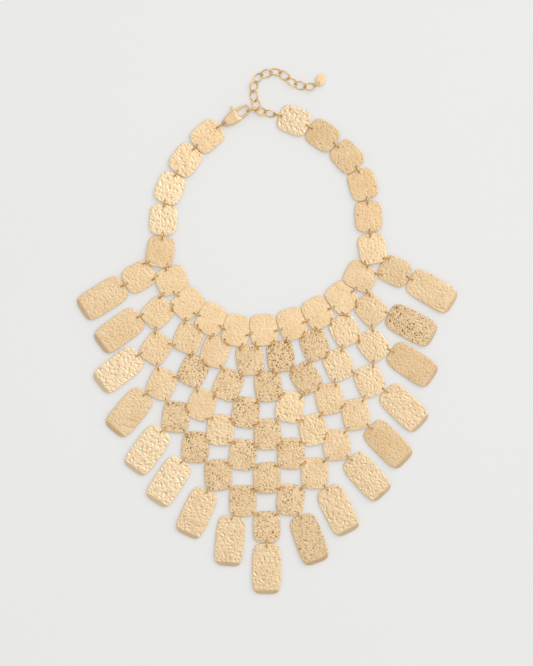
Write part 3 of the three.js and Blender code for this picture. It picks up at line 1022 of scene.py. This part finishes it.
def slab_object(name: str, outline: Array, half: float, bevel: float, place: Any) -> Any:
    """Makes a slab with a rounded rim from a closed outline.

    Args:
        name: The object's name.
        outline: The outline in millimetres, anticlockwise.
        half: Half the thickness.
        bevel: Width of the rounding, or 0 for none.
        place: Carries points in millimetres to the necklace's frame.

    Returns:
        The object; a rounding is a live Bevel modifier.
    """
    count = len(outline)
    levels = [np.column_stack([outline, np.full(count, side * half)]) for side in (1, -1)]
    points = place(np.concatenate(levels))
    top, low = list(range(count)), list(range(2 * count - 1, count - 1, -1))
    sides = [(i, i + count, (i + 1) % count + count, (i + 1) % count) for i in range(count)]
    mesh = bpy.data.meshes.new(name)
    mesh.from_pydata(points.tolist(), [], [top, low, *sides])
    mesh.polygons.foreach_set("use_smooth", np.ones(len(mesh.polygons), dtype=bool))
    mesh.set_sharp_from_angle(angle=SHARP)
    made = into_scene(name, mesh)
    if bevel:
        rounding = made.modifiers.new("rim", "BEVEL")
        rounding.width = bevel * MM
        rounding.segments = 3
        rounding.limit_method = "ANGLE"
        rounding.angle_limit = SHARP
    return made


def fix_modifiers(piece: Any) -> Any:
    """Turns a piece's live modifiers into its mesh."""
    bpy.context.view_layer.update()
    graph = bpy.context.evaluated_depsgraph_get()
    mesh = bpy.data.meshes.new_from_object(piece.evaluated_get(graph))
    piece.modifiers.clear()
    piece.data = mesh
    return piece


def cut_away(piece: Any, cutters: Sequence[Any]) -> None:
    """Cuts solids out of a piece and removes them."""
    for cutter in cutters:
        cut = piece.modifiers.new("cut", "BOOLEAN")
        cut.operation = "DIFFERENCE"
        cut.solver = "EXACT"
        cut.object = cutter
    fix_modifiers(piece)
    for cutter in cutters:
        bpy.data.objects.remove(cutter)


def disc_loop(x: float, y: float, radius: float, count: int = 32) -> Array:
    """A circle of points."""
    turn = np.linspace(0, 2 * math.pi, count, endpoint=False)
    return np.stack([x + radius * np.cos(turn), y + radius * np.sin(turn)], axis=1)


def box_loop(x0: float, x1: float, y0: float, y1: float) -> Array:
    """The four corners of a rectangle, anticlockwise."""
    return np.array([[x0, y0], [x1, y0], [x1, y1], [x0, y1]])


# ---------- the necklace ----------


@dataclass
class Necklace:
    """Every plate, ring, link and fitting, read from the solids and built as fine pieces.

    Ring_gaps are the gaps in millimetres that a ring spans from hole to hole, ring_level the
    height over which a solid's corners are those of rings, and ring_miss how near a corner must
    be. Collar_pitch is the lean in degrees of a collar plate that is also rolled by at least the
    least roll. Least_plate and least_tag are areas of flat faces in square metres.
    """

    frame: dict[str, Any]
    marks: HammerField = field(default_factory=HammerField)
    sheet: CushionSheet = CushionSheet()
    drop: CushionSheet = CushionSheet(width=17.3, length=30.6, power=4.2, lip=3.0, lip_angle=27.0)
    ring: WireRing = WireRing()
    end_ring: WireRing = WireRing(radius=2.7)
    small_ring: WireRing = WireRing(radius=1.9, wire=0.75)
    ring_gaps: tuple[float, float] = (3.1, 4.25)
    ring_level: float = 3.2
    ring_miss: float = 0.12
    neck_ends: tuple[str, str] = ("neck_plate_left_1", "neck_plate_right_1")
    link: OvalLink = OvalLink()
    tag: CushionSheet = CushionSheet(7.6, 5.8, 2.0, thickness=0.9, edge=0.3, crown=0.2, cell=0.26, hole=0.7)
    tag_hole: float = -2.2
    tag_marks: float = 0.004
    tag_seed: int = 7
    clasp: LobsterClasp = LobsterClasp()
    collar_pitch: float = 4.3
    least_roll: float = 0.02
    least_plate: float = 60e-6
    least_tag: float = 8e-6
    plates: list[Plate] = field(default_factory=list)
    rings: list[tuple[Plate, str, Plate, str]] = field(default_factory=list)
    solids: dict[str, Solid] = field(default_factory=dict)

    def read(self) -> None:
        """Reads all solids, then the plates, the rings between them and the rows of the net."""
        self.solids = {name: Solid(name) for name in sorted(self.frame["nodes"])}
        for name, solid in self.solids.items():
            role = next((role for start, role in ROLE_OF.items() if name.startswith(start)), None)
            if role is not None:
                tops = solid.flat_tops(self.least_plate)
                self.plates += [self.plate_from(name, role, *top) for top in tops]
        self.find_rings()
        self.name_rows()
        log.info("%d plates, %d rings between them", len(self.plates), len(self.rings))

    def plate_from(self, node: str, role: Role, corners: Array, normal: Array) -> Plate:
        """Works out a plate's frame from its flat upper face.

        The normal leans towards the plate's upper end. A collar plate is also rolled on its
        neighbour: with its known pitch, the rest of the lean is the roll.

        Args:
            node: The node that holds the plate.
            role: What the plate does.
            corners: Corners of the face.
            normal: The face's normal.

        Returns:
            The plate, with its centre in the middle of its outline.
        """
        lean = math.hypot(normal[0], normal[1])
        heading = math.degrees(math.atan2(normal[0], normal[1]))
        pitch, roll = math.degrees(math.asin(lean)), 0.0
        if role is Role.COLLAR:
            pitched = math.sin(math.radians(self.collar_pitch)) ** 2
            rolled = math.sqrt(max((lean**2 - pitched) / (1 - pitched), 0))
            if rolled > self.least_roll:
                roll, pitch = math.degrees(math.asin(rolled)), self.collar_pitch
                ahead = math.cos(math.radians(roll)) * math.sin(math.radians(pitch))
                heading -= math.degrees(math.atan2(rolled, ahead))
        axes = turned("z", -heading) @ turned("x", -pitch) @ turned("y", roll)
        local = corners @ axes
        low, high = local.min(axis=0), local.max(axis=0)
        middle = (low + high) / 2
        if role is Role.DROP:
            middle[1] = high[1] - self.drop.length / 2 * MM
        return Plate(node, role, axes @ middle, axes)

    def shape_of(self, plate: Plate) -> CushionSheet:
        """The sheet that a plate is cut from."""
        return self.drop if plate.role is Role.DROP else self.sheet

    def find_rings(self) -> None:
        """Pairs the holes of different plates that a ring of the solids joins.

        Two holes are a pair if their gap is one that a ring spans and the solids have a corner,
        above the plates, at both of the places where the upper corners of such a ring would be.
        """
        holes = [(plate, key) for plate in self.plates for key in plate.role.value]
        at = np.array([plate.hole(key, self.shape_of(plate).thickness) for plate, key in holes])
        owner = np.repeat(np.arange(len(self.plates)), [len(plate.role.value) for plate in self.plates])
        gap = np.linalg.norm(at[:, None] - at[None], axis=-1) / MM
        least, most = self.ring_gaps
        close = (gap > least) & (gap < most) & (owner[:, None] < owner[None])
        nodes = sorted({plate.node for plate in self.plates})
        corners = np.concatenate([self.solids[name].corners for name in nodes])
        corners = corners[corners[:, 2] > self.ring_level * MM]
        reach = (self.ring.radius + self.ring.wire / 2) * MM
        for i, j in np.argwhere(close):
            middle, along, up = self.ring.frame(at[i], at[j])
            peaks = [middle + (along * side * 0.5 + up * math.sqrt(0.75)) * reach for side in (1, -1)]
            misses = [np.linalg.norm(corners - peak, axis=1).min() for peak in peaks]
            if max(misses) < self.ring_miss * MM:
                (first, key), (second, other) = holes[i], holes[j]
                self.rings.append((first, key, second, other))
                first.used.append(key)
                second.used.append(other)

    def name_rows(self) -> None:
        """Names the net's plates by row letter and place, walking down from the collar by rings."""
        row = [plate for plate in self.plates if plate.role is Role.COLLAR]
        for letter in "ABCDEFGHI":
            row.sort(key=lambda plate: plate.centre[0])
            for place, plate in enumerate(row, start=1):
                plate.name = f"{letter}{place}"
            pairs = [(a, b) for a, _, b, _ in self.rings] + [(b, a) for a, _, b, _ in self.rings]
            above = {id(plate) for plate in row}
            hung = [b for a, b in pairs if id(a) in above and b.role is Role.NET and not b.name]
            row = list({id(plate): plate for plate in hung}.values())

    def plate_shell(self, plate: Plate, number: int) -> Shell:
        """The fine surface of one plate."""
        # the look gives the plate's painted sheen and its share of painted dark specks
        strength, spread, tone, satin, specks = plate.look().value
        used = {*plate.used, "top"} if plate.node in self.neck_ends else set(plate.used)
        holes = [HOLES[key] for key in sorted(used)]
        points, faces, depth = self.shape_of(plate).surface(holes, self.marks, strength, spread, number)
        return Shell(plate.world(points * MM), faces, 0, tone, satin, specks, depth)

    def holder(self, first: Plate, second: Plate) -> str:
        """The node that a ring is shown with: that of the plate hanging on it."""

        def hangs_lower(plate: Plate) -> tuple[int, float]:
            """Orders plates by role, then from the top down."""
            return list(Role).index(plate.role), -plate.centre[1]

        return max((first, second), key=hangs_lower).node

    def build_plates(self, finishes: Sequence[Any]) -> None:
        """Builds one piece for each node of plates, with the rings that hold it."""
        shells: dict[str, list[Shell]] = {}
        for number, plate in enumerate(self.plates):
            shells.setdefault(plate.node, []).append(self.plate_shell(plate, number))
        for first, key, second, other in self.rings:
            start = first.hole(key, self.shape_of(first).thickness)
            end = second.hole(other, self.shape_of(second).thickness)
            shells[self.holder(first, second)].append(self.ring.shell(start, end, 1))
        for node, where in zip(self.neck_ends, self.end_places()):
            shells[node].append(self.end_ring.shell(*where, 1))
        for node, parts in shells.items():
            piece = make_piece(f"{node}_hammered", parts, finishes)
            settle(piece, "necklace", "hammered_gold", node)

    def end_places(self) -> tuple[tuple[Array, Array], ...]:
        """From and to of the rings at both ends of the neck: to the clasp, and to the short chain."""
        ends = {plate.node: plate for plate in self.plates if plate.node in self.neck_ends}
        left, right = (ends[node].hole("top", self.sheet.thickness) for node in self.neck_ends)
        origin, axes = self.clasp.frame(self.frame["joints"][0])
        eye = origin + axes @ np.array([*self.clasp.eye, 0.0]) * MM
        return (left, eye), (self.link.end_inside(self.solids["neck_link_3"], right), right)

    def build_links(self, finish: Any) -> None:
        """Builds the oval links of the short neck chain and the extender."""
        for name in [key for key in self.solids if "_link_" in key]:
            piece = make_piece(f"{name}_wire", [self.link.shell(self.solids[name])], [finish])
            settle(piece, "necklace", "polished_gold", name)

    def build_clasp(self, finish: Any) -> None:
        """Builds the clasp's body with its slot and pin, and the lever."""
        clasp = self.clasp
        origin, axes = clasp.frame(self.frame["joints"][0])

        def place(points: Array) -> Array:
            """Carries millimetres in the clasp's plane to the necklace's frame."""
            return origin + points @ axes.T * MM

        points, faces = clasp.body()
        body = make_piece("clasp_body_cast", [Shell(place(points), faces)], [finish])
        px, py = clasp.pivot
        slot = box_loop(px - clasp.slot_behind, clasp.slot_end, py - clasp.slot_under, clasp.outside)
        gate = box_loop(clasp.gate_from, clasp.gate_to, clasp.gate_floor, clasp.outside)
        eye = disc_loop(*clasp.eye, clasp.eye_hole)
        cutters = [
            slab_object("slot", slot, clasp.slot, 0.0, place),
            slab_object("gate_room", gate, clasp.through, 0.0, place),
            slab_object("eye_hole", eye, clasp.through, 0.0, place),
        ]
        cut_away(body, cutters)
        settle(body, "necklace", "polished_gold", "clasp_body")
        disc, half = disc_loop(px, py, clasp.pin), clasp.belly + clasp.pin_proud
        pin = slab_object("clasp_pin", disc, half, clasp.pin_rim, place)
        pin.data.materials.append(finish)
        settle(fix_modifiers(pin), "necklace", "polished_gold")
        outline = smooth_loop(clasp.gate, clasp.gate_points)
        lever = slab_object("clasp_lever_cast", outline, clasp.lever, clasp.lever_rim, place)
        lever.data.materials.append(finish)
        settle(fix_modifiers(lever), "clasp_lever", "polished_gold", "clasp_lever")

    def build_tag(self, finishes: Sequence[Any]) -> None:
        """Builds the small oval tag and the ring that ties it to the last link."""
        tops = self.solids["extender_tag"].flat_tops(self.least_tag)
        corners, normal = max(tops, key=lambda top: len(top[0]))
        last = self.solids["extender_link_10"]
        middle = (corners.min(axis=0) + corners.max(axis=0)) / 2
        long = main_axes(corners, middle)[:, 2]
        long = unit(long * np.sign(np.dot(middle - last.corners.mean(axis=0), long)))
        axes = np.stack([long, np.cross(normal, long), normal], axis=1)
        holes = [(self.tag_hole, 0.0)]
        points, faces, _ = self.tag.surface(holes, self.marks, self.tag_marks, 1.0, self.tag_seed)
        hole = middle + axes @ np.array([self.tag_hole, 0.0, -self.tag.thickness / 2]) * MM
        inside = self.link.end_inside(last, hole)
        shells = [Shell(middle + points @ axes.T * MM, faces), self.small_ring.shell(inside, hole, 1)]
        piece = make_piece("extender_tag_disc", shells, finishes)
        settle(piece, "necklace", "polished_gold", "extender_tag")


# ---------- stage ----------


@dataclass(frozen=True)
class SoftLamp:
    """A square soft light that faces the necklace's middle, and shows in gloss if asked."""

    name: str
    place: tuple[float, float, float]
    size: float
    power: float
    gloss: bool

    def hang(self) -> None:
        """Hangs the light: its third axis runs from the middle to its place."""
        light = bpy.data.lights.new(self.name, "AREA")
        light.size = self.size
        light.energy = self.power
        back = unit(np.array(self.place))
        side = unit(np.cross(np.array([0.0, 1.0, 0.0]), back))
        matrix = np.eye(4)
        matrix[:3] = np.stack([side, np.cross(back, side), back, self.place], axis=1)
        hung = into_scene(self.name, light)
        hung.matrix_world = Matrix(matrix.tolist())
        hung.visible_glossy = self.gloss


@dataclass(frozen=True)
class Studio:
    """A pale floor, soft light mostly from the upper right, and a camera straight above.

    Lengths are in metres. The sky runs from shade to glow towards one window of it.
    """

    field_height: float = 0.3996
    lens: float = 100.0
    sensor: float = 36.0
    clip: tuple[float, float] = (0.05, 10.0)
    aim: tuple[float, float] = (-0.00036, -0.00122)
    floor_half: float = 1.5
    key: SoftLamp = SoftLamp("key", (0.9, 0.8, 1.2), 0.6, 2.0, True)
    wash: SoftLamp = SoftLamp("wash", (0.2, 0.2, 1.6), 1.1, 12.5, False)
    sky: float = 0.9
    window: tuple[float, float, float] = (0.50, 0.42, 0.757)
    sky_from: float = 0.45
    sky_to: float = 1.0
    shade: tuple[float, ...] = rgba(0.7, 0.7, 0.7)
    glow: tuple[float, ...] = rgba(1.42, 1.42, 1.4)

    def floor(self, material: Any) -> None:
        """Lays the floor under the necklace."""
        half = self.floor_half
        mesh = bpy.data.meshes.new("floor")
        corners = [(-half, -half, 0), (half, -half, 0), (half, half, 0), (-half, half, 0)]
        mesh.from_pydata(corners, [], [(0, 1, 2, 3)])
        mesh.materials.append(material)
        into_scene("floor", mesh)

    def light(self) -> None:
        """Lights the stage: a sky that is brighter towards one window of it, and two soft lamps."""
        world = bpy.data.worlds.new("sky")
        bpy.context.scene.world = world
        world.use_nodes = True
        shader = Shader(world.node_tree)
        way = shader.add("ShaderNodeTexCoord", None, None, "Generated")
        inputs = {0: way, 1: self.window}
        facing = shader.add("ShaderNodeVectorMath", {"operation": "DOT_PRODUCT"}, inputs, "Value")
        colour = shader.blend(facing.between(self.sky_from, self.sky_to), self.shade, self.glow)
        sky = shader.add("ShaderNodeBackground", None, {"Color": colour, "Strength": self.sky})
        shader.add("ShaderNodeOutputWorld", None, {0: sky})
        self.key.hang()
        self.wash.hang()
        bpy.context.scene.view_settings.view_transform = "Standard"

    def camera(self) -> None:
        """Puts the camera straight above, so far that the field has its height on the floor."""
        data = bpy.data.cameras.new("camera")
        data.lens = self.lens
        data.sensor_width = self.sensor
        data.clip_start, data.clip_end = self.clip
        camera = into_scene("camera", data)
        camera.location = (*self.aim, self.field_height * self.lens / self.sensor)
        bpy.context.scene.camera = camera


# ---------- building ----------


def main() -> None:
    """Builds the necklace on its frame and sets the stage."""
    logging.basicConfig(level=logging.INFO, format="%(name)s %(message)s")
    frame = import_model()
    studio = Studio()
    studio.camera()
    hammered, polished = HammeredGold().material(), PolishedGold().material()
    chain = PolishedGold("chain_gold", rgba(0.93, 0.67, 0.34), rgba(0.76, 0.5, 0.2)).material()
    satin = PolishedGold("satin_gold", rgba(0.94, 0.71, 0.43), rgba(0.86, 0.62, 0.35), 0.42).material()
    necklace = Necklace(frame)
    necklace.read()
    necklace.build_plates([hammered, polished])
    necklace.build_links(chain)
    necklace.build_clasp(satin)
    necklace.build_tag([satin, chain])
    studio.floor(PlasterFloor().material())
    studio.light()


if __name__ == "__main__":
    main()
